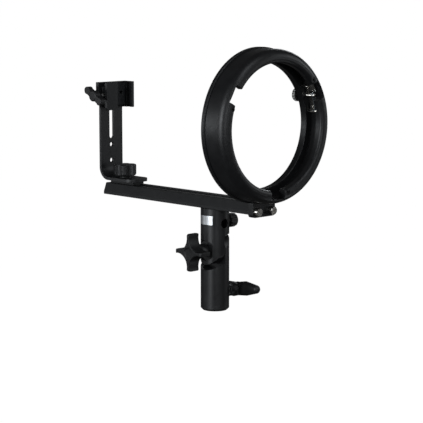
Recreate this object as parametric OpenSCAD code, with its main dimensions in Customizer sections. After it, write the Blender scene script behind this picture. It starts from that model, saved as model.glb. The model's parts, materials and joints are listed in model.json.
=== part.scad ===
// Flash bracket with a tilting stand socket and an umbrella hole.
// Millimetres. The origin is the centre of the stand socket's mouth, +Z is up
// and +X runs along the rail towards the bayonet ring.

/* [Swivel] */
// Outer diameter of both swivel castings
swivel_d = 30; // [28:0.5:32]
// Bore that takes a 16 mm stand spigot
socket_d = 16.2; // [16.1:0.1:16.6]
// Depth of the stand socket
socket_depth = 40; // [36:1:41]
// Height of the tilt axis above the socket's mouth
tilt_z = 64.3; // [63:0.1:66]
// Height of the top face of the swivel head
head_top_z = 108.5; // [107:0.5:110]
// Height of the umbrella shaft hole
umbrella_z = 92.6; // [92:0.1:93.5]
// Diameter of the umbrella shaft hole
umbrella_d = 9.8; // [8.5:0.1:10]
// Diameter of the tilt bolt
tilt_bolt_d = 8; // [7:0.5:9]

/* [Knobs] */
// Tip diameter of the four lobed tilt knob
tilt_knob_d = 39.5; // [36:0.5:42]
// Thickness of the tilt knob's lobes
tilt_knob_h = 14.2; // [12:0.1:16]
// Half length of the stand clamp handle
handle_reach = 33; // [28:1:36]
// Angle that the stand clamp handle rests at
handle_angle = 6; // [0:1:12]
// Diameter of the umbrella clamp knob
umbrella_knob_d = 15; // [13:0.5:16]
// Diameter of the foot knob that clamps the flash bracket to the rail
foot_knob_d = 26; // [24:0.5:28]
// Length of the thumb bar that closes the flash shoe
thumb_bar_l = 31; // [24:1:32]

/* [Rail] */
// Width of the rail's underside
rail_w = 30; // [28:0.5:32]
// Width of the rail's top face
rail_top_w = 22; // [20:0.5:24]
// Height of the rail
rail_h = 12.5; // [12:0.1:13]
// Left end of the rail
rail_left_x = -161.7; // [-180:0.1:-150]
// Width of the slot in the rail's top face
slot_w = 8.4; // [7.5:0.1:9]

/* [Flash bracket] */
// Width of the bent bracket
bracket_w = 31; // [28:0.5:33]
// Sheet thickness of the bent bracket
bracket_t = 3.2; // [2.8:0.1:3.6]
// Back face of the bracket's upright
bracket_x = -168; // [-170:0.5:-167]
// Length of the bracket's foot along the rail
foot_l = 52; // [48:1:56]
// Outside radius of the bend
bend_r = 14; // [10:0.5:16]
// Underside of the bracket's foot
foot_z = 124.4; // [123.5:0.1:125]
// Top of the bracket's upright
bracket_top_z = 229; // [225:1:231]

/* [Flash shoe] */
// Width across the flash shoe's base
shoe_w = 42.5; // [40:0.5:44]
// Height of the flash shoe
shoe_h = 28.5; // [26:0.5:30]
// Depth of the flash shoe from the bracket to the lips
shoe_depth = 15; // [14.5:0.1:16]
// Underside of the flash shoe
shoe_z = 203.8; // [202:0.1:206]

/* [Ring] */
// Height of the bayonet ring's centre
ring_z = 197.8; // [197.8:0.1:200]
// Back face of the bayonet ring
ring_back_x = 61; // [60:0.1:61.5]
// Depth of the bayonet ring
ring_depth = 30.6; // [30:0.1:33]
// Outside radius of the bayonet ring
ring_r = 77.6; // [77:0.1:77.6]
// Radius of the throat in the front flange
throat_r = 63.7; // [63:0.1:64.5]
// Width of each bayonet notch in degrees
notch_deg = 16; // [14:0.5:17]

/* [Hidden] */
$fn = 64;
eps = 0.01;
// Gap between pieces that slide on each other
slide_gap = 0.1;

// Swivel
swivel_r = swivel_d / 2;
disc_t = 1.2;
lap_gap = 0.05;
ledge_r = swivel_r + 6;
ledge_drop = swivel_r + 0.6;
shoulder_z = tilt_z + swivel_r + 1.5;
spot_y = -12;
spot_r = 11;
base_chamfer = 2.2;
// Blank plate on the head, by its height and the angles that it wraps
plate_low_z = 91.5;
plate_h = 9.4;
plate_t = 0.35;
plate_from = -119;
plate_to = -53;
boss_r = 6.75;
boss_y = 17.3;
stand_screw_z = 17.5;
stand_screw_r = 4;
umbrella_r = umbrella_d / 2;
umbrella_screw_r = 3;

// Tilt knob
knob_front_y = -39.2;
knob_back_y = knob_front_y + tilt_knob_h;
washer_t = 1.4;

// Rail and T slot
rail_z = head_top_z;
rail_top_z = rail_z + rail_h;
rail_right_x = 64.4;
rail_edge_h = 3.2;
slot_lip_t = 2.6;
t_slot_w = 15;
t_slot_h = 4.6;
t_slot_z = rail_top_z - slot_lip_t - t_slot_h;

// Bracket
upright_front_x = bracket_x + bracket_t;
foot_end_x = bracket_x + foot_l;
foot_corner_r = 12;
foot_top_z = foot_z + bracket_t;
stud_x = -143;
stud_r = 2.5;
shoe_slot_w = 6.4;
shoe_slot_low_z = 169;
shoe_slot_top_z = 221;
bracket_hole_r = 2.6;

// Shoe, measured forward from the bracket's upright
shoe_plate_t = 4.2;
shoe_floor_x = upright_front_x + 7.8;
shoe_groove_x = upright_front_x + 11.4;
shoe_front_x = upright_front_x + shoe_depth;
shoe_right_y = 20;
shoe_left_y = shoe_right_y - shoe_w;
shoe_top_z = shoe_z + shoe_h;
shoe_mid_z = 218;
shoe_bolt_z = 214;
shoe_screw_x = shoe_floor_x;
shoe_screw_r = 2.5;
shoe_knob_y = -34.5;
post_low_y = -16.5;
post_high_y = -12.3;
jaw_lip_y = -3.7;

// Ring
ring_front_x = ring_back_x + ring_depth;
joint_x = ring_back_x + 4.9;
lip_r = ring_r + 1.4;
back_throat_r = 64.2;
ring_screw_r = 74.6;
channel_r = 71.6;
channel_back_x = ring_back_x + 8;
flange_back_x = ring_front_x - 8;
notch_angles = [30, 150, 270];
notch_r = 72.8;
stop_offset = 11.75;
stop_r = 67.6;

// Lock pin
pin_angle = 24;
pin_pitch_r = 69;
pin_r = 1.95;
pin_tip_x = flange_back_x - 1.6;
pull_r = 7.15;
pull_front_x = ring_back_x - 1.6;
pull_t = 3.6;
plate_low_deg = 9;
plate_high_deg = 34.3;

// Ring block
block_t = 7;
block_x = rail_right_x;
block_front_x = block_x + block_t;
block_w = 32;
block_low_z = rail_z - 2.8;
block_screw_y = 10.5;
block_screw_z = rail_z + 3;

// Turns a shape so that its own Z runs along +X
module along_x() { rotate([0, 90, 0]) children(); }
// Turns a shape so that its own Z runs along +Y
module along_y() { rotate([-90, 0, 0]) children(); }
// Moves children, drawn with their own Z along +X, to an angle and radius on the ring
module on_ring(angle, radius, x) {
    translate([x, 0, ring_z]) rotate([angle, 0, 0]) translate([0, radius, 0]) along_x() children();
}
// Points of an arc of radius r about (cx, cy)
function arc(cx, cy, r, from, to, steps) =
    [for (i = [0 : steps]) let (a = from + (to - from) * i / steps) [cx + r * cos(a), cy + r * sin(a)]];
// Cylinder with a chamfer at both ends
module soft_cylinder(r, h, edge) {
    rotate_extrude()
        polygon([[0, 0], [r - edge, 0], [r, edge], [r, h - edge], [r - edge, h], [0, h]]);
}
// Knob grip: a disc with round flutes cut into its rim and rounded faces
module fluted_grip(r, h, flutes, flute_r, flute_depth, edge) {
    difference() {
        rotate_extrude() polygon(concat(
            [[0, 0]], arc(r - edge, edge, edge, -90, 0, 5),
            arc(r - edge, h - edge, edge, 0, 90, 5), [[0, h]]));
        for (i = [0 : flutes - 1])
            rotate(i * 360 / flutes) translate([r + flute_r - flute_depth, 0, -1])
                cylinder(r = flute_r, h = h + 2, $fn = 32);
    }
}
// Slotted cheese head screw, head up, with its shank below z = 0
module slotted_screw(head_r, head_h, shank_r, shank_l) {
    difference() {
        soft_cylinder(head_r, head_h, 0.6);
        translate([-head_r - 1, -0.6, head_h - 1.3]) cube([2 * head_r + 2, 1.2, 2]);
    }
    translate([0, 0, -shank_l]) cylinder(r = shank_r, h = shank_l + eps);
}
// Rounded rectangle standing on its lower edge, y across and z up
module rounded_plate(w, h, r) {
    union() {
        translate([-w / 2 + r, 0]) square([w - 2 * r, h]);
        translate([-w / 2, r]) square([w, h - 2 * r]);
        for (x = [-w / 2 + r, w / 2 - r], y = [r, h - r]) translate([x, y]) circle(r);
    }
}
// Two halves of the lap joint: the space on one side of the tilt plane
module half_space(y_low, y_high, z_low, z_high) {
    translate([-30, y_low, z_low]) cube([60, y_high - y_low, z_high - z_low]);
}

// Lower casting: stand socket below, lap ear above
module swivel_base() {
    color("#2b2c2e") difference() {
        union() {
            rotate_extrude() polygon([
                [0, 0], [swivel_r - base_chamfer, 0], [swivel_r, base_chamfer],
                [swivel_r, tilt_z - ledge_drop], [0, tilt_z - ledge_drop]]);
            intersection() {
                union() {
                    translate([0, 0, 10]) cylinder(r = swivel_r, h = tilt_z - 10);
                    intersection() {
                        translate([0, 0, tilt_z - 1]) cylinder(r = swivel_r, h = swivel_r + 2);
                        translate([0, -1, tilt_z]) along_y() cylinder(r = swivel_r, h = 30);
                    }
                }
                half_space(disc_t / 2 + lap_gap, 30, 0, 200);
            }
            translate([0, 10, stand_screw_z]) along_y() soft_cylinder(boss_r, boss_y - 10, 0.8);
        }
        translate([0, -30, tilt_z]) along_y()
            cylinder(r = ledge_r, h = 30 + disc_t / 2 + lap_gap);
        translate([0, 0, -1]) cylinder(r = socket_d / 2, h = socket_depth + 1);
        translate([0, 4, stand_screw_z]) along_y() cylinder(r = stand_screw_r + 0.05, h = 20);
        translate([0, -1, tilt_z]) along_y() cylinder(r = tilt_bolt_d / 2 + 0.05, h = 30);
    }
}
// Upper casting: lap tongue below, umbrella hole and rail seat above
module swivel_head() {
    color("#2b2c2e") difference() {
        union() {
            translate([0, 0, shoulder_z]) rotate_extrude() polygon([
                [0, 0], [swivel_r, 0], [swivel_r, head_top_z - shoulder_z - 0.6],
                [swivel_r - 0.6, head_top_z - shoulder_z], [0, head_top_z - shoulder_z]]);
            intersection() {
                union() {
                    translate([0, 0, tilt_z]) cylinder(r = swivel_r, h = shoulder_z - tilt_z + 1);
                    intersection() {
                        translate([0, 0, tilt_z - swivel_r - 1]) cylinder(r = swivel_r, h = swivel_r + 2);
                        translate([0, -30, tilt_z]) along_y() cylinder(r = swivel_r, h = 60);
                    }
                }
                half_space(-30, -disc_t / 2, 0, 200);
            }
        }
        translate([0, -30, tilt_z]) along_y() cylinder(r = spot_r, h = 30 + spot_y);
        translate([0, -30, tilt_z]) along_y() cylinder(r = tilt_bolt_d / 2 + 0.05, h = 40);
        translate([-20, 0, umbrella_z]) along_x() cylinder(r = umbrella_r, h = 40);
        translate([0, 2, umbrella_z]) along_y() cylinder(r = umbrella_screw_r + 0.05, h = 20);
        translate([0, 0, head_top_z - 9]) cylinder(r = 3, h = 10);
    }
}
// Friction disc fixed to the head inside the lap joint
module friction_disc() {
    color("#50514f") translate([0, -disc_t / 2, tilt_z]) along_y() difference() {
        cylinder(r = swivel_r - 0.8, h = disc_t);
        translate([0, 0, -1]) cylinder(r = tilt_bolt_d / 2 + 0.2, h = disc_t + 2);
    }
}
// Tilt bolt through the head into the base's ear
module tilt_bolt() {
    color("#c4c2bc") translate([0, knob_front_y + 4, tilt_z]) along_y()
        soft_cylinder(tilt_bolt_d / 2, 13.5 - knob_front_y - 4, 0.6);
}
// Bright washer between the tilt knob and the head
module tilt_washer() {
    color("#d2d0ca") translate([0, spot_y - 0.1 - washer_t, tilt_z]) along_y() difference() {
        cylinder(r = 7.6, h = washer_t);
        translate([0, 0, -1]) cylinder(r = tilt_bolt_d / 2, h = washer_t + 2);
    }
}
// Four lobed tilt knob with a tapered hub behind it
module tilt_knob() {
    tip_r = tilt_knob_d / 2;
    flute_centre = tip_r + 1.6;
    flute_r = flute_centre - 7.8;
    hub_y = spot_y - 0.1 - washer_t;
    color("#1c1d1f") translate([0, knob_front_y, tilt_z]) along_y() difference() {
        union() {
            intersection() {
                rotate_extrude() polygon(concat(
                    [[0, 0]], arc(tip_r - 3, 3, 3, -90, 0, 6),
                    arc(tip_r - 2, tilt_knob_h - 2, 2, 0, 90, 6), [[0, tilt_knob_h]]));
                translate([0, 0, -1]) linear_extrude(height = tilt_knob_h + 2) difference() {
                    circle(r = tip_r + 1);
                    for (i = [0 : 3]) rotate(45 + 90 * i) translate([flute_centre, 0]) circle(r = flute_r);
                }
            }
            translate([0, 0, tilt_knob_h - 1])
                cylinder(r1 = 8.2, r2 = 6.4, h = hub_y - knob_back_y + 1);
        }
        translate([0, 0, 4]) cylinder(r = tilt_bolt_d / 2, h = 40);
        translate([0, 0, -eps]) cylinder(r1 = 5.4, r2 = 4.6, h = 0.8);
    }
}
// Clamp screw that bears on the stand's spigot
module stand_screw() {
    color("#b9b7b1") translate([0, socket_d / 2 + 0.6, stand_screw_z]) along_y()
        soft_cylinder(stand_screw_r, 20, 0.6);
}
// T shaped handle of the stand clamp
module stand_handle() {
    hub_y = boss_y + 0.8;
    bar_y = 33;
    tip_x = handle_reach - 4.6;
    color("#1c1d1f") translate([0, 0, stand_screw_z]) rotate([0, -handle_angle, 0]) difference() {
        union() {
            translate([0, hub_y, 0]) along_y() rotate_extrude() polygon([
                [0, 0], [5.6, 0], [6.3, 0.7], [6.3, 5], [7.4, 9], [7.4, 17], [5.6, 19.2], [0, 19.2]]);
            for (side = [-1, 1]) {
                hull() {
                    translate([side * 2, bar_y, 0]) scale([1, 1, 1.4]) sphere(r = 5.2, $fn = 32);
                    translate([side * 14, bar_y, 0.5]) scale([1, 1, 1.65]) sphere(r = 4.7, $fn = 32);
                    translate([side * tip_x, bar_y, 0]) scale([1, 1, 1.05]) sphere(r = 4.4, $fn = 32);
                }
            }
        }
        translate([0, hub_y - 1, 0]) along_y() cylinder(r = stand_screw_r, h = 11.6);
    }
}
// Clamp screw that bears on an umbrella's shaft
module umbrella_screw() {
    color("#b9b7b1") translate([0, umbrella_r + 0.5, umbrella_z]) along_y()
        soft_cylinder(umbrella_screw_r, 17, 0.5);
}
// Ridged knob of the umbrella clamp
module umbrella_knob() {
    color("#1c1d1f") translate([0, swivel_r + 1.2, umbrella_z]) along_y() difference() {
        union() {
            cylinder(r = 4.6, h = 3);
            translate([0, 0, 1.6]) fluted_grip(umbrella_knob_d / 2, 10, 12, 1.4, 0.7, 1.4);
        }
        translate([0, 0, -1]) cylinder(r = umbrella_screw_r, h = 7.3);
    }
}
// Blank plate that wraps part of the head's side
module name_plate() {
    color("#dcdcda") intersection() {
        translate([0, 0, plate_low_z]) difference() {
            cylinder(r = swivel_r + plate_t, h = plate_h);
            translate([0, 0, -1]) cylinder(r = swivel_r, h = plate_h + 2);
        }
        translate([0, 0, plate_low_z - 1]) linear_extrude(height = plate_h + 2)
            polygon([
                [0, 0], 30 * [cos(plate_from), sin(plate_from)],
                34 * [cos((plate_from + plate_to) / 2), sin((plate_from + plate_to) / 2)],
                30 * [cos(plate_to), sin(plate_to)]]);
    }
}
// Extruded rail with a T slot along its top
module rail() {
    half = rail_w / 2;
    top_half = rail_top_w / 2;
    color("#242527") difference() {
        translate([rail_left_x, 0, rail_z]) rotate([90, 0, 90])
            linear_extrude(height = rail_right_x - rail_left_x) difference() {
                polygon([
                    [-half + 0.4, 0], [half - 0.4, 0], [half, 0.4], [half, rail_edge_h],
                    [top_half + 0.5, rail_h - 0.3], [top_half, rail_h],
                    [-top_half, rail_h], [-top_half - 0.5, rail_h - 0.3],
                    [-half, rail_edge_h], [-half, 0.4]]);
                translate([-slot_w / 2, rail_h - slot_lip_t - 1]) square([slot_w, slot_lip_t + 2]);
                translate([-t_slot_w / 2, t_slot_z - rail_z]) square([t_slot_w, t_slot_h]);
            }
        translate([0, 0, rail_z - 1]) cylinder(r = 3.2, h = 10);
        translate([0, 0, t_slot_z - 3.2]) cylinder(r1 = 3.2, r2 = 6.4, h = 3.2 + eps);
        for (y = [-block_screw_y, block_screw_y])
            translate([rail_right_x - 16, y, block_screw_z]) along_x() cylinder(r = 2, h = 17);
        translate([ring_back_x - 0.2, 0, ring_z]) along_x() cylinder(r = lip_r + 0.2, h = 8, $fn = 128);
    }
}
// Countersunk screw that holds the rail to the head
module rail_screw() {
    color("#3a3b3c") difference() {
        union() {
            translate([0, 0, head_top_z - 8]) cylinder(r = 2.95, h = t_slot_z - head_top_z + 8 - 3.2 + eps);
            translate([0, 0, t_slot_z - 3.2]) cylinder(r1 = 2.95, r2 = 6.1, h = 3.1);
        }
        translate([0, 0, t_slot_z - 2.1]) cylinder(r = 2.3, h = 3, $fn = 6);
    }
}
// Block that closes the rail's end and carries the ring
module ring_block() {
    color("#2f3032") difference() {
        translate([block_x, 0, block_low_z]) rotate([90, 0, 90])
            linear_extrude(height = block_t) rounded_plate(block_w, 17, 3.4);
        translate([block_x - 1, 0, ring_z]) along_x() cylinder(r = ring_r + 0.02, h = block_t + 2, $fn = 128);
        translate([block_x - 1, 0, ring_z]) along_x()
            cylinder(r = lip_r + 0.05, h = joint_x - block_x + 1.05, $fn = 128);
        for (y = [-block_screw_y, block_screw_y])
            translate([block_x - 1, y, block_screw_z]) along_x() cylinder(r = 2.2, h = block_t + 2);
        for (y = [-4.5, 4.5]) {
            translate([block_x + 3.4, y, block_low_z - 1]) cylinder(r = 1.6, h = 20);
            translate([block_x + 3.4, y, block_low_z - 1]) cylinder(r = 2.9, h = 4.2);
        }
    }
}
// Two bright slotted screws through the block into the rail
module block_screws() {
    color("#d8d6d0") for (y = [-block_screw_y, block_screw_y])
        translate([block_front_x, y, block_screw_z]) along_x() rotate(y < 0 ? 60 : -28)
            slotted_screw(4.3, 4.4, 2, block_t + 14);
}
// Two screws from below the block into the ring
module ring_foot_screws() {
    color("#3a3b3c") for (y = [-4.5, 4.5])
        translate([block_x + 3.4, y, block_low_z + 3.2]) mirror([0, 0, 1]) difference() {
            union() {
                cylinder(r = 2.7, h = 2.6);
                translate([0, 0, -15.4]) cylinder(r = 1.5, h = 15.5);
            }
            translate([0, 0, 1.2]) cylinder(r = 1.3, h = 3, $fn = 6);
        }
}
// Section of the front ring, radius across and depth along the axis
function ring_section() = concat(
    [[back_throat_r, joint_x], [ring_r - 0.5, joint_x], [ring_r, joint_x + 0.5]],
    arc(ring_r - 9, ring_front_x - 9, 9, 0, 82, 12),
    arc(throat_r + 4, ring_front_x - 4.1, 4, 90, 180, 7),
    [[throat_r, flange_back_x + 0.6], [throat_r + 0.6, flange_back_x],
     [channel_r, flange_back_x], [channel_r, channel_back_x],
     [back_throat_r + 0.4, channel_back_x], [back_throat_r, channel_back_x - 0.4]]);
// Cutter for one bayonet notch through the front flange
module notch_cutter(angle) {
    depth = notch_r - throat_r + 4;
    width = 2 * (throat_r + 4) * tan(notch_deg / 2);
    translate([flange_back_x - 1, 0, ring_z]) rotate([angle, 0, 0])
        translate([0, notch_r - depth, -width / 2]) cube([12, depth, width]);
}
// Front ring: inward flange with bayonet notches, and the channel behind it
module mount_ring() {
    color("#232426") difference() {
        translate([0, 0, ring_z]) along_x() rotate_extrude($fn = 128) polygon(ring_section());
        for (a = notch_angles) {
            notch_cutter(a);
            on_ring(a + stop_offset, stop_r, flange_back_x - 1) cylinder(r = 1.6, h = 12);
            on_ring(a + stop_offset, stop_r, ring_front_x - 2.6) cylinder(r = 2.9, h = 6);
        }
        on_ring(pin_angle, pin_pitch_r, joint_x - 1) cylinder(r = pin_r + 0.05, h = 5);
        for (y = [-4.5, 4.5])
            translate([block_x + 3.4, y, ring_z - ring_r - 1]) cylinder(r = 1.5, h = 5.2);
        for (i = [0 : 5]) on_ring(60 * i, ring_screw_r, joint_x - 1) cylinder(r = 1.25, h = 6);
    }
}
// Back ring screwed behind the front ring
module back_ring() {
    color("#2a2b2d") difference() {
        translate([0, 0, ring_z]) along_x() rotate_extrude($fn = 128) polygon([
            [back_throat_r + 0.6, ring_back_x], [lip_r - 0.8, ring_back_x], [lip_r, ring_back_x + 0.8],
            [lip_r, joint_x - 0.9], [lip_r - 0.9, joint_x],
            [back_throat_r, joint_x], [back_throat_r, ring_back_x + 0.6]]);
        on_ring(pin_angle, pin_pitch_r, ring_back_x - 1) cylinder(r = pin_r + 0.05, h = 10);
        for (i = [0 : 5]) {
            on_ring(60 * i, ring_screw_r, ring_back_x - 1) cylinder(r = 1.6, h = 8);
            on_ring(60 * i, ring_screw_r, ring_back_x - eps) cylinder(r1 = 3.1, r2 = 1.6, h = 1.5);
        }
    }
}
// Six countersunk screws that hold the two rings together
module back_ring_screws() {
    color("#3a3b3c") for (i = [0 : 5]) on_ring(60 * i, ring_screw_r, ring_back_x + 0.1) difference() {
        union() {
            cylinder(r1 = 2.9, r2 = 1.25, h = 1.5);
            cylinder(r = 1.25, h = 9);
        }
        translate([-3, -0.35, -1]) cube([6, 0.7, 1.6]);
    }
}
// Three stop screws, one beside each notch
module stop_screws() {
    color("#151617") for (a = notch_angles)
        on_ring(a + stop_offset, stop_r, ring_front_x - 2.6) difference() {
            union() {
                cylinder(r = 2.7, h = 2);
                translate([0, 0, -8]) cylinder(r = 1.6, h = 8 + eps);
            }
            translate([0, 0, 0.8]) cylinder(r = 1.5, h = 3, $fn = 6);
        }
}
// Sector of a tube about the ring's axis, used by the lock plate and its spring
module ring_sector(r_in, r_out, x, depth, from, to) {
    translate([x, 0, ring_z]) rotate([from, 0, 0]) rotate([0, 90, 0]) rotate([0, 0, 90])
        rotate_extrude(angle = to - from, $fn = 180)
            translate([r_in, 0]) square([r_out - r_in, depth]);
}
// Bright steel plate with a tab at each end, seated in the ring's channel
module lock_plate() {
    wall = channel_r - 0.02;
    back = channel_back_x + 0.6;
    depth = flange_back_x - channel_back_x - 1;
    color("#cfd2d4") difference() {
        union() {
            ring_sector(wall - 0.5, wall, back, depth, plate_low_deg, plate_low_deg + 12);
            ring_sector(wall - 0.5, wall, back, depth, plate_high_deg - 7, plate_high_deg);
            ring_sector(wall - 0.5, wall, back, 4, plate_low_deg + 11.9, plate_high_deg - 6.9);
            ring_sector(wall - 4, wall, back, depth, plate_low_deg, plate_low_deg + 0.6);
            ring_sector(wall - 4, wall, back, depth, plate_high_deg - 0.6, plate_high_deg);
        }
        for (a = [plate_low_deg + 3.4, plate_high_deg - 3.2])
            translate([back + 3, 0, ring_z]) rotate([a, 0, 0]) translate([0, wall - 2, 0])
                along_y() cylinder(r = 1, h = 6);
        on_ring(pin_angle, pin_pitch_r, back - 1) cylinder(r = pin_r + 0.35, h = depth + 2);
    }
}
// Two pan head screws that hold the lock plate in the channel
module lock_plate_screws() {
    color("#d8d6d0") for (a = [plate_low_deg + 3.4, plate_high_deg - 3.2])
        translate([channel_back_x + 3.6, 0, ring_z]) rotate([a, 0, 0]) translate([0, channel_r - 2, 0])
            along_y() soft_cylinder(1.9, 1.44, 0.4);
}
// Leaf spring that pushes the lock pin forward
module lock_spring() {
    tip_x = pin_tip_x - 2.6;
    color("#aebcc4") difference() {
        union() {
            ring_sector(channel_r - 4.8, channel_r - 0.9, tip_x, 0.5, plate_low_deg + 1.4, pin_angle + 2.6);
            ring_sector(channel_r - 4.8, channel_r - 0.9, channel_back_x + 7, tip_x - channel_back_x - 6.6,
                plate_low_deg + 1.4, plate_low_deg + 1.9);
        }
        on_ring(pin_angle, pin_pitch_r, tip_x - 1) cylinder(r = pin_r + 0.06, h = 3);
    }
}
// Lock pin that drops behind a bayonet lug
module lock_pin() {
    color("#e0deda") on_ring(pin_angle, pin_pitch_r, pull_front_x - pull_t + 0.6)
        soft_cylinder(pin_r, pin_tip_x - pull_front_x + pull_t - 0.6, 0.5);
}
// Knurled disc behind the ring that pulls the lock pin back
module lock_pull() {
    color("#8f8f8b") on_ring(pin_angle, pin_pitch_r, pull_front_x - pull_t) difference() {
        fluted_grip(pull_r, pull_t, 24, 0.8, 0.45, 0.7);
        translate([0, 0, 0.6]) cylinder(r = pin_r, h = pull_t);
    }
}
// Bent flash bracket: slotted upright, bend and foot
module flash_bracket() {
    half = bracket_w / 2;
    color("#2c2d2f") difference() {
        union() {
            translate([bracket_x, -half, foot_z + bend_r]) cube([bracket_t, bracket_w, bracket_top_z - foot_z - bend_r]);
            translate([bracket_x + bend_r, half, foot_z + bend_r]) rotate([90, 0, 0]) intersection() {
                difference() {
                    cylinder(r = bend_r, h = bracket_w);
                    translate([0, 0, -1]) cylinder(r = bend_r - bracket_t, h = bracket_w + 2);
                }
                translate([-bend_r - 1, -bend_r - 1, -1]) cube([bend_r + 1, bend_r + 1, bracket_w + 2]);
            }
            translate([bracket_x + bend_r, -half, foot_z])
                cube([foot_l - bend_r - foot_corner_r, bracket_w, bracket_t]);
            translate([foot_end_x - foot_corner_r - 1, -half + foot_corner_r, foot_z])
                cube([foot_corner_r + 1, bracket_w - 2 * foot_corner_r, bracket_t]);
            for (y = [-half + foot_corner_r, half - foot_corner_r])
                translate([foot_end_x - foot_corner_r, y, foot_z]) cylinder(r = foot_corner_r, h = bracket_t);
        }
        translate([bracket_x - 1, -shoe_slot_w / 2, shoe_slot_low_z + shoe_slot_w / 2])
            cube([bracket_t + 2, shoe_slot_w, shoe_slot_top_z - shoe_slot_low_z - shoe_slot_w]);
        for (z = [shoe_slot_low_z + shoe_slot_w / 2, shoe_slot_top_z - shoe_slot_w / 2])
            translate([bracket_x - 1, 0, z]) along_x() cylinder(r = shoe_slot_w / 2, h = bracket_t + 2);
        for (z = [144.8, 162.4])
            translate([bracket_x - 1, 0, z]) along_x() cylinder(r = bracket_hole_r, h = bracket_t + 2);
        translate([stud_x, 0, foot_z - 1]) cylinder(r = stud_r + 0.1, h = bracket_t + 2);
    }
}
// Guide under the foot that keeps the bracket square in the rail's slot
module guide_block() {
    color("#1f2022") difference() {
        union() {
            translate([foot_end_x - 42, -8, rail_top_z + slide_gap])
                cube([37, 16, foot_z - rail_top_z - slide_gap]);
            translate([foot_end_x - 42, -slot_w / 2 + slide_gap, rail_top_z - 2.2])
                cube([37, slot_w - 2 * slide_gap, 2.4]);
        }
        translate([stud_x, 0, rail_top_z - 4]) cylinder(r = stud_r + 0.1, h = 12);
    }
}
// T nut that runs inside the rail
module slide_nut() {
    color("#8d8c88") translate([stud_x, 0, t_slot_z + slide_gap]) difference() {
        translate([-9, -t_slot_w / 2 + 0.3, 0]) cube([18, t_slot_w - 0.6, t_slot_h - 2 * slide_gap]);
        translate([0, 0, -1]) cylinder(r = stud_r, h = 8);
    }
}
// Threaded stud that stands on the T nut
module foot_stud() {
    color("#b9b7b1") translate([stud_x, 0, t_slot_z + slide_gap + 0.3]) soft_cylinder(stud_r, 20, 0.4);
}
// Washer between the foot and its knob
module foot_washer() {
    color("#6e6e6c") translate([stud_x, 0, foot_top_z]) difference() {
        cylinder(r = 6.5, h = 1);
        translate([0, 0, -1]) cylinder(r = stud_r + 0.1, h = 3);
    }
}
// Lobed knob that clamps the bracket to the rail
module foot_knob() {
    color("#1c1d1f") translate([stud_x, 0, foot_top_z + 1.1]) difference() {
        union() {
            cylinder(r = 8.4, h = 2);
            translate([0, 0, 1.1]) rotate(45) fluted_grip(foot_knob_d / 2, 12.1, 6, 4.4, 3, 1.6);
        }
        translate([0, 0, -1]) cylinder(r = stud_r + 0.06, h = 8.6);
    }
}
// Base of the flash shoe: back plate, screw post and fixed right jaw
module shoe_base() {
    plate_front_x = upright_front_x + slide_gap + shoe_plate_t;
    wall_in_y = 15.5;
    corner = 5.6;
    color("#262729") difference() {
        union() {
            translate([upright_front_x + slide_gap, 0, 0]) rotate([90, 0, 90])
                linear_extrude(height = shoe_plate_t) polygon([
                    [shoe_left_y, shoe_z + corner * 1.6], [shoe_left_y + corner, shoe_z],
                    [shoe_right_y, shoe_z], [shoe_right_y, shoe_top_z], [shoe_left_y, shoe_top_z]]);
            translate([plate_front_x - 1, wall_in_y, shoe_z])
                cube([shoe_front_x - plate_front_x + 1, shoe_right_y - wall_in_y, shoe_h]);
            translate([plate_front_x - 1, post_low_y, shoe_mid_z - 9])
                cube([shoe_groove_x - 0.2 - plate_front_x + 1, post_high_y - post_low_y, 18]);
        }
        translate([shoe_floor_x, wall_in_y - 1, shoe_z - 1])
            cube([shoe_groove_x - shoe_floor_x, 4.1, shoe_h + 2]);
        translate([shoe_groove_x - eps, wall_in_y - 1, shoe_z - 1])
            cube([10, 2.1, shoe_h + 2]);
        translate([shoe_screw_x, post_low_y - 1, shoe_mid_z]) along_y()
            cylinder(r = shoe_screw_r + 0.05, h = 7);
        translate([upright_front_x - 1, 0, shoe_bolt_z]) along_x() cylinder(r = 3, h = 8);
        translate([upright_front_x - 1, 9.7, shoe_mid_z + 2]) along_x() cylinder(r = 1.6, h = 10);
    }
}
// Bolt from behind the bracket that clamps the flash shoe at a height
module shoe_bolt() {
    color("#3a3b3c") translate([bracket_x - 1.3, 0, shoe_bolt_z]) along_x() difference() {
        union() {
            translate([0, 0, -3.4]) soft_cylinder(5, 3.4, 0.6);
            cylinder(r = 2.95, h = bracket_t + 1.3 + shoe_plate_t - 0.2);
        }
        translate([0, 0, -4.4]) cylinder(r = 2.4, h = 3.4, $fn = 6);
    }
}
// Washer under the head of the shoe bolt
module shoe_washer() {
    color("#8d8c88") translate([bracket_x - 1.25, 0, shoe_bolt_z]) along_x() difference() {
        cylinder(r = 6.6, h = 1.2);
        translate([0, 0, -1]) cylinder(r = 2.98, h = 4);
    }
}
// Thin spring that fills the floor under a flash foot
module shoe_spring_plate() {
    x = upright_front_x + slide_gap + shoe_plate_t;
    color("#55565c") translate([x, 3.6, shoe_z + 2.5]) difference() {
        cube([0.5, 11.6, shoe_h - 5]);
        translate([-1, 6.1, shoe_mid_z + 2 - shoe_z - 2.5]) along_x() cylinder(r = 2, h = 3);
    }
}
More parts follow.
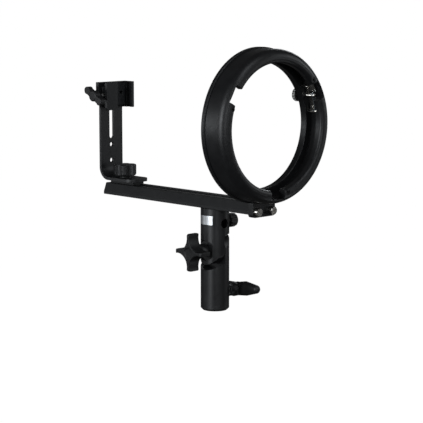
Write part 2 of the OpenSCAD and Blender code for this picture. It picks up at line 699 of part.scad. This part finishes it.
// Moving left jaw, pushed by the screw
module shoe_jaw() {
    back_x = upright_front_x + 2 * slide_gap + shoe_plate_t;
    block_y = post_high_y + 0.2;
    jaw_low_z = shoe_z - 2;
    lip_w = 15.6;
    color("#2e2f31") difference() {
        union() {
            translate([back_x, block_y, shoe_z]) cube([shoe_front_x - back_x, jaw_lip_y - block_y, shoe_h]);
            translate([shoe_groove_x + 0.1, jaw_lip_y - lip_w / 2, jaw_low_z]) rotate([90, 0, 90])
                linear_extrude(height = shoe_front_x - shoe_groove_x - 0.1) union() {
                    translate([-lip_w / 2, 3]) square([lip_w, shoe_top_z - jaw_low_z - 3]);
                    translate([-lip_w / 2 + 3, 0]) square([lip_w - 6, 4]);
                    for (y = [-lip_w / 2 + 3, lip_w / 2 - 3]) translate([y, 3]) circle(3);
                }
        }
        translate([shoe_floor_x, jaw_lip_y - 1.4, shoe_z - 5])
            cube([shoe_groove_x - shoe_floor_x, 5, shoe_h + 10]);
        translate([shoe_screw_x, block_y - 1, shoe_mid_z]) along_y() cylinder(r = shoe_screw_r + 0.05, h = 5);
    }
}
// Screw that runs through the post into the moving jaw
module shoe_screw() {
    color("#b9b7b1") translate([shoe_screw_x, shoe_knob_y + 3, shoe_mid_z]) along_y()
        soft_cylinder(shoe_screw_r, post_high_y + 3.6 - shoe_knob_y - 3, 0.4);
}
// Thumb bar of the flash shoe
module shoe_knob() {
    tip = thumb_bar_l / 2 - 4.1;
    color("#1c1d1f") translate([shoe_screw_x, shoe_knob_y, shoe_mid_z]) along_y() difference() {
        union() {
            soft_cylinder(6, 7.5, 0.8);
            rotate(30) translate([0, 0, 0.6]) linear_extrude(height = 6.2) union() {
                square([2 * tip, 7], center = true);
                for (side = [-1, 1]) translate([side * tip, 0]) circle(4.1);
            }
            translate([0, 0, 7]) cylinder(r = 3.3, h = 4.7);
        }
        translate([0, 0, 3]) cylinder(r = shoe_screw_r, h = 12);
    }
}

swivel_base();
swivel_head();
friction_disc();
tilt_bolt();
tilt_washer();
tilt_knob();
stand_screw();
stand_handle();
umbrella_screw();
umbrella_knob();
name_plate();
rail();
rail_screw();
ring_block();
block_screws();
ring_foot_screws();
mount_ring();
back_ring();
back_ring_screws();
stop_screws();
lock_plate();
lock_plate_screws();
lock_spring();
lock_pin();
lock_pull();
flash_bracket();
guide_block();
slide_nut();
foot_stud();
foot_washer();
foot_knob();
shoe_base();
shoe_bolt();
shoe_washer();
shoe_spring_plate();
shoe_jaw();
shoe_screw();
shoe_knob();
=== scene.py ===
"""Looks of the flash bracket: finishes, rounded edges, soft studio light and the camera."""
import json
import math

import bmesh
import bpy
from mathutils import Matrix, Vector

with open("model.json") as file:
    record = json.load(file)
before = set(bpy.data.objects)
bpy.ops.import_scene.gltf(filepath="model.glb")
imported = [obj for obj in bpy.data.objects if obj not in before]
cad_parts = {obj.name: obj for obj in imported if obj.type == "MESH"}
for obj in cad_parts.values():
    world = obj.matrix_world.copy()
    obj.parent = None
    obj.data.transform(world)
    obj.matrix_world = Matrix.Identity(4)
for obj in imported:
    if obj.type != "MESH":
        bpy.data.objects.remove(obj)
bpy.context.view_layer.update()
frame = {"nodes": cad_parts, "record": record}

MM = 0.001
NODES = frame["nodes"]

# Camera, from the photograph's perspective
CAMERA_AZIMUTH = math.radians(46.0)
CAMERA_ELEVATION = math.radians(8.2)
CAMERA_DISTANCE = 1.638
CAMERA_TARGET = Vector((-0.0052, 0.0, 0.1032))
LENS_MM = 133.2
SENSOR_MM = 36.0

# Studio
FLOOR_Z = -0.30
FLOOR_RADIUS = 120.0
FLOOR_GLOW = 1.0
WORLD_STRENGTH = 0.06
LIGHT_TINT = (0.93, 0.965, 1.0)
LIGHT_DISTANCE = 1.7
TALL = (0.45, 1.0)
SQUARE = (0.7, 0.7)

# Finishes
EDGE_WEAR_RADIUS = 0.35 * MM
SCRATCH_SCALE = 2.2
# Nodes whose finish differs from the rest of their slot
OWN_FINISH = {"shoe_spring_plate": "blued_spring"}

# Edges
BEVEL_ANGLE = math.radians(28)
BEVEL_SEGMENTS = 2
WELD_DISTANCE = 0.002 * MM
MOULD_VOXEL = 0.32 * MM
MOULD_PASSES = 2
MOULDED = ("tilt_knob", "foot_knob", "shoe_knob", "umbrella_knob", "stand_handle")
BEVEL_WIDTHS_MM = {
    "flash_bracket": 0.35, "rail": 0.25, "ring_block": 0.4, "shoe_base": 0.35, "shoe_jaw": 0.35,
    "guide_block": 0.25, "swivel_base": 0.35, "swivel_head": 0.35, "mount_ring": 0.3}


# ---------------------------------------------------------------- materials

def new_material(name):
    """A material with only a Principled shader. Returns it with its node tree and shader."""
    material = bpy.data.materials.new(name)
    material.use_nodes = True
    tree = material.node_tree
    tree.nodes.clear()
    output = tree.nodes.new("ShaderNodeOutputMaterial")
    shader = tree.nodes.new("ShaderNodeBsdfPrincipled")
    tree.links.new(shader.outputs["BSDF"], output.inputs["Surface"])
    return material, tree, shader


def coordinates(tree, stretch=(1, 1, 1)):
    """Object coordinates in millimetres, stretched along the axes for brushed or turned grain."""
    source = tree.nodes.new("ShaderNodeTexCoord")
    mapping = tree.nodes.new("ShaderNodeMapping")
    mapping.inputs["Scale"].default_value = [1000 * s for s in stretch]
    tree.links.new(source.outputs["Object"], mapping.inputs["Vector"])
    return mapping.outputs["Vector"]


def noise(tree, vector, scale, detail=3.0, rough=0.55):
    """Noise with about `scale` cells to the millimetre."""
    node = tree.nodes.new("ShaderNodeTexNoise")
    node.inputs["Scale"].default_value = scale
    node.inputs["Detail"].default_value = detail
    node.inputs["Roughness"].default_value = rough
    tree.links.new(vector, node.inputs["Vector"])
    return node.outputs["Fac"]


def remap(tree, value, low, high, out_low, out_high):
    """Maps a value's low to high onto out_low to out_high, clamped."""
    node = tree.nodes.new("ShaderNodeMapRange")
    for key, number in (("From Min", low), ("From Max", high), ("To Min", out_low), ("To Max", out_high)):
        node.inputs[key].default_value = number
    tree.links.new(value, node.inputs["Value"])
    return node.outputs["Result"]


def mix_colour(tree, factor, first, second):
    """Blends two colours, each a tuple or a socket, by a factor socket."""
    node = tree.nodes.new("ShaderNodeMix")
    node.data_type = "RGBA"
    for socket, colour in ((node.inputs[6], first), (node.inputs[7], second)):
        if isinstance(colour, tuple):
            socket.default_value = (*colour, 1.0)
        else:
            tree.links.new(colour, socket)
    tree.links.new(factor, node.inputs[0])
    return node.outputs[2]


def combine(tree, operation, first, second):
    """One Math node on two sockets or numbers."""
    node = tree.nodes.new("ShaderNodeMath")
    node.operation = operation
    for socket, value in zip(node.inputs, (first, second)):
        if isinstance(value, (int, float)):
            socket.default_value = value
        else:
            tree.links.new(value, socket)
    return node.outputs[0]


def edge_mask(tree, radius):
    """1 at a convex or concave edge and 0 on a face, from how far a rounded normal turns there."""
    bevel = tree.nodes.new("ShaderNodeBevel")
    bevel.samples = 6
    bevel.inputs["Radius"].default_value = radius
    geometry = tree.nodes.new("ShaderNodeNewGeometry")
    dot = tree.nodes.new("ShaderNodeVectorMath")
    dot.operation = "DOT_PRODUCT"
    tree.links.new(bevel.outputs["Normal"], dot.inputs[0])
    tree.links.new(geometry.outputs["Normal"], dot.inputs[1])
    return remap(tree, dot.outputs["Value"], 0.99, 0.86, 0.0, 1.0)


def bump(tree, shader, height, distance):
    """Feeds a height socket into the shader's normal. Distance is in metres."""
    node = tree.nodes.new("ShaderNodeBump")
    node.inputs["Strength"].default_value = 1.0
    node.inputs["Distance"].default_value = distance
    tree.links.new(height, node.inputs["Height"])
    tree.links.new(node.outputs["Normal"], shader.inputs["Normal"])


def coated(name, dark, light, worn, rough, specular, grain, grain_depth, wear=0.5, metallic=0.0):
    """Paint, anodising or moulded plastic: mottled colour, fine grain, smudged gloss and rubbed edges."""
    material, tree, shader = new_material(name)
    vector = coordinates(tree)
    cloud = noise(tree, vector, 0.07, 4.0)
    speck = noise(tree, vector, grain, 4.0, 0.6)
    tone = mix_colour(tree, remap(tree, cloud, 0.35, 0.65, 0.0, 1.0), dark, light)
    edge = edge_mask(tree, EDGE_WEAR_RADIUS)
    scuff = remap(tree, noise(tree, vector, 0.9, 5.0, 0.7), 0.45, 0.62, 0.0, wear)
    rubbed = combine(tree, "MULTIPLY", edge, scuff)
    tree.links.new(mix_colour(tree, rubbed, tone, worn), shader.inputs["Base Color"])
    smudge = remap(tree, noise(tree, vector, 0.11, 5.0, 0.65), 0.3, 0.7, rough - 0.05, rough + 0.06)
    gloss = combine(tree, "SUBTRACT", smudge, combine(tree, "MULTIPLY", rubbed, 0.1))
    tree.links.new(gloss, shader.inputs["Roughness"])
    shader.inputs["Metallic"].default_value = metallic
    shader.inputs["Specular IOR Level"].default_value = specular
    bump(tree, shader, speck, grain_depth)
    return material


def bare_metal(name, dark, light, rough, stretch, depth):
    """Plated or bare metal: faint colour drift, directional scratches and uneven polish."""
    material, tree, shader = new_material(name)
    vector = coordinates(tree)
    brushed = noise(tree, coordinates(tree, stretch), SCRATCH_SCALE, 5.0, 0.7)
    cloud = noise(tree, vector, 0.3, 3.0)
    drift = mix_colour(tree, remap(tree, cloud, 0.35, 0.65, 0.0, 1.0), dark, light)
    tree.links.new(drift, shader.inputs["Base Color"])
    tree.links.new(remap(tree, brushed, 0.3, 0.7, rough - 0.06, rough + 0.1), shader.inputs["Roughness"])
    shader.inputs["Metallic"].default_value = 1.0
    bump(tree, shader, brushed, depth)
    return material


def make_materials():
    """One material for each of the record's slots, and one for the shoe's spring plate."""
    return {
        "cast_black": coated("cast_black", (0.0045, 0.0047, 0.0053), (0.0070, 0.0072, 0.0080),
                             (0.045, 0.046, 0.048), 0.39, 0.46, 2.2, 0.016 * MM, 0.35),
        "anodised_black": coated("anodised_black", (0.0042, 0.0044, 0.0050), (0.0065, 0.0067, 0.0074),
                                 (0.06, 0.061, 0.064), 0.40, 0.36, 4.5, 0.008 * MM, 0.3),
        "knob_black": coated("knob_black", (0.0055, 0.0055, 0.0060), (0.0080, 0.0080, 0.0085),
                             (0.022, 0.022, 0.023), 0.45, 0.34, 1.6, 0.025 * MM, 0.2),
        "bright_steel": bare_metal("bright_steel", (0.70, 0.68, 0.63), (0.80, 0.78, 0.74),
                                   0.22, (1.0, 1.0, 1.0), 0.004 * MM),
        "zinc_steel": bare_metal("zinc_steel", (0.36, 0.36, 0.35), (0.48, 0.48, 0.46),
                                 0.38, (1.0, 6.0, 6.0), 0.006 * MM),
        "black_steel": coated("black_steel", (0.010, 0.010, 0.010), (0.016, 0.016, 0.017),
                              (0.16, 0.16, 0.16), 0.36, 0.5, 3.0, 0.006 * MM, 0.6, 0.6),
        "spring_steel": bare_metal("spring_steel", (0.34, 0.39, 0.43), (0.46, 0.51, 0.56),
                                   0.32, (8.0, 1.0, 1.0), 0.004 * MM),
        "blued_spring": bare_metal("blued_spring", (0.085, 0.090, 0.096), (0.130, 0.135, 0.142),
                                   0.36, (8.0, 1.0, 1.0), 0.004 * MM),
        "fibre": coated("fibre", (0.05, 0.05, 0.046), (0.08, 0.08, 0.074),
                        (0.12, 0.12, 0.11), 0.75, 0.3, 1.8, 0.05 * MM),
        "blank_silver": bare_metal("blank_silver", (0.66, 0.68, 0.70), (0.76, 0.78, 0.80),
                                   0.34, (1.0, 1.0, 9.0), 0.004 * MM),
    }


# ---------------------------------------------------------------- shaping CAD nodes

def weld_and_bevel(node, width):
    """Softens a CAD node's hard edges with modifiers. Its own mesh stays as it is."""
    weld = node.modifiers.new("weld", "WELD")
    weld.merge_threshold = WELD_DISTANCE
    edge = node.modifiers.new("edge", "BEVEL")
    edge.width = width
    edge.segments = BEVEL_SEGMENTS
    edge.limit_method = "ANGLE"
    edge.angle_limit = BEVEL_ANGLE
    edge.miter_outer = "MITER_ARC"
    edge.harden_normals = True
    node.modifiers.new("shade", "WEIGHTED_NORMAL").keep_sharp = True


def mould(node):
    """Rounds a CAD node all over, as a moulded or cast piece is, with modifiers."""
    remesh = node.modifiers.new("remesh", "REMESH")
    remesh.mode = "VOXEL"
    remesh.voxel_size = MOULD_VOXEL
    remesh.use_smooth_shade = True
    smooth = node.modifiers.new("smooth", "SMOOTH")
    smooth.factor = 0.5
    smooth.iterations = MOULD_PASSES


def shape_nodes():
    """Rounds the moulded pieces all over and the edges of the castings, rail and sheet pieces."""
    for name in MOULDED:
        mould(NODES[name])
    for name, width in BEVEL_WIDTHS_MM.items():
        weld_and_bevel(NODES[name], width * MM)


# ---------------------------------------------------------------- stage

def aim(obj, point):
    """Turns a light or camera so that it looks at a point."""
    direction = Vector(point) - obj.location
    obj.rotation_euler = direction.to_track_quat("-Z", "Y").to_euler()


def around(azimuth, elevation, distance, centre):
    """A place seen from the centre at an azimuth, where 0 is on the -Y side and 90 on the +X side."""
    return Vector(centre) + distance * Vector((
        math.sin(azimuth) * math.cos(elevation),
        -math.cos(azimuth) * math.cos(elevation),
        math.sin(elevation)))


def make_camera():
    """The camera at the photograph's angle and perspective."""
    data = bpy.data.cameras.new("camera")
    data.lens = LENS_MM
    data.sensor_width = SENSOR_MM
    data.sensor_fit = "HORIZONTAL"
    data.clip_end = 2 * FLOOR_RADIUS
    camera = bpy.data.objects.new("camera", data)
    bpy.context.scene.collection.objects.link(camera)
    camera.location = around(CAMERA_AZIMUTH, CAMERA_ELEVATION, CAMERA_DISTANCE, CAMERA_TARGET)
    aim(camera, CAMERA_TARGET)
    bpy.context.scene.camera = camera


def softbox(name, azimuth, elevation, size, watts):
    """A rectangular area light that looks at the object, placed in degrees about it."""
    data = bpy.data.lights.new(name, "AREA")
    data.shape = "RECTANGLE"
    data.size, data.size_y = size
    data.energy = watts
    data.color = LIGHT_TINT
    light = bpy.data.objects.new(name, data)
    bpy.context.scene.collection.objects.link(light)
    light.location = around(
        math.radians(azimuth), math.radians(elevation), LIGHT_DISTANCE, CAMERA_TARGET)
    aim(light, CAMERA_TARGET)


def make_stage():
    """A plain glowing floor, a dim world and soft lights."""
    mesh = bpy.data.meshes.new("floor")
    shape = bmesh.new()
    bmesh.ops.create_circle(shape, cap_ends=True, radius=FLOOR_RADIUS, segments=96)
    shape.to_mesh(mesh)
    shape.free()
    floor = bpy.data.objects.new("floor", mesh)
    floor.location.z = FLOOR_Z
    bpy.context.scene.collection.objects.link(floor)
    material, tree, shader = new_material("floor_white")
    vector = coordinates(tree)
    tree.links.new(
        mix_colour(tree, noise(tree, vector, 0.02), (0.02, 0.02, 0.02), (0.03, 0.03, 0.03)),
        shader.inputs["Base Color"])
    shader.inputs["Roughness"].default_value = 0.9
    shader.inputs["Specular IOR Level"].default_value = 0.0
    shader.inputs["Emission Color"].default_value = (1.0, 1.0, 1.0, 1.0)
    shader.inputs["Emission Strength"].default_value = FLOOR_GLOW
    mesh.materials.append(material)
    floor.visible_diffuse = False
    floor.visible_glossy = False

    world = bpy.data.worlds.new("studio")
    world.use_nodes = True
    background = world.node_tree.nodes["Background"]
    background.inputs["Color"].default_value = (1.0, 1.0, 1.0, 1.0)
    background.inputs["Strength"].default_value = WORLD_STRENGTH
    bpy.context.scene.world = world
    bpy.context.scene.view_settings.view_transform = "Standard"

    softbox("key", 10, 12, (0.4, 1.2), 17)
    softbox("key_side", -11, 12, TALL, 4)
    softbox("fill", 62, 12, TALL, 5.2)
    softbox("high", 94, 48, SQUARE, 4.2)
    softbox("front", 94, 12, TALL, 2.2)
    softbox("rim_left", -150, 12, TALL, 5)
    softbox("rim_right", 150, 12, TALL, 4.2)
    softbox("under", 150, -35, SQUARE, 2)
    softbox("lock", -44, 6, (0.3, 0.4), 3)


def paint_nodes(materials):
    """Gives every CAD node its slot's material, or its own finish where it has one."""
    for part in frame["record"]["subparts"]:
        node = NODES[part["node"]]
        node.data.materials.clear()
        finish = OWN_FINISH.get(part["node"], part["material_slot"])
        node.data.materials.append(materials[finish])


make_camera()
make_stage()
MATERIALS = make_materials()
paint_nodes(MATERIALS)
shape_nodes()
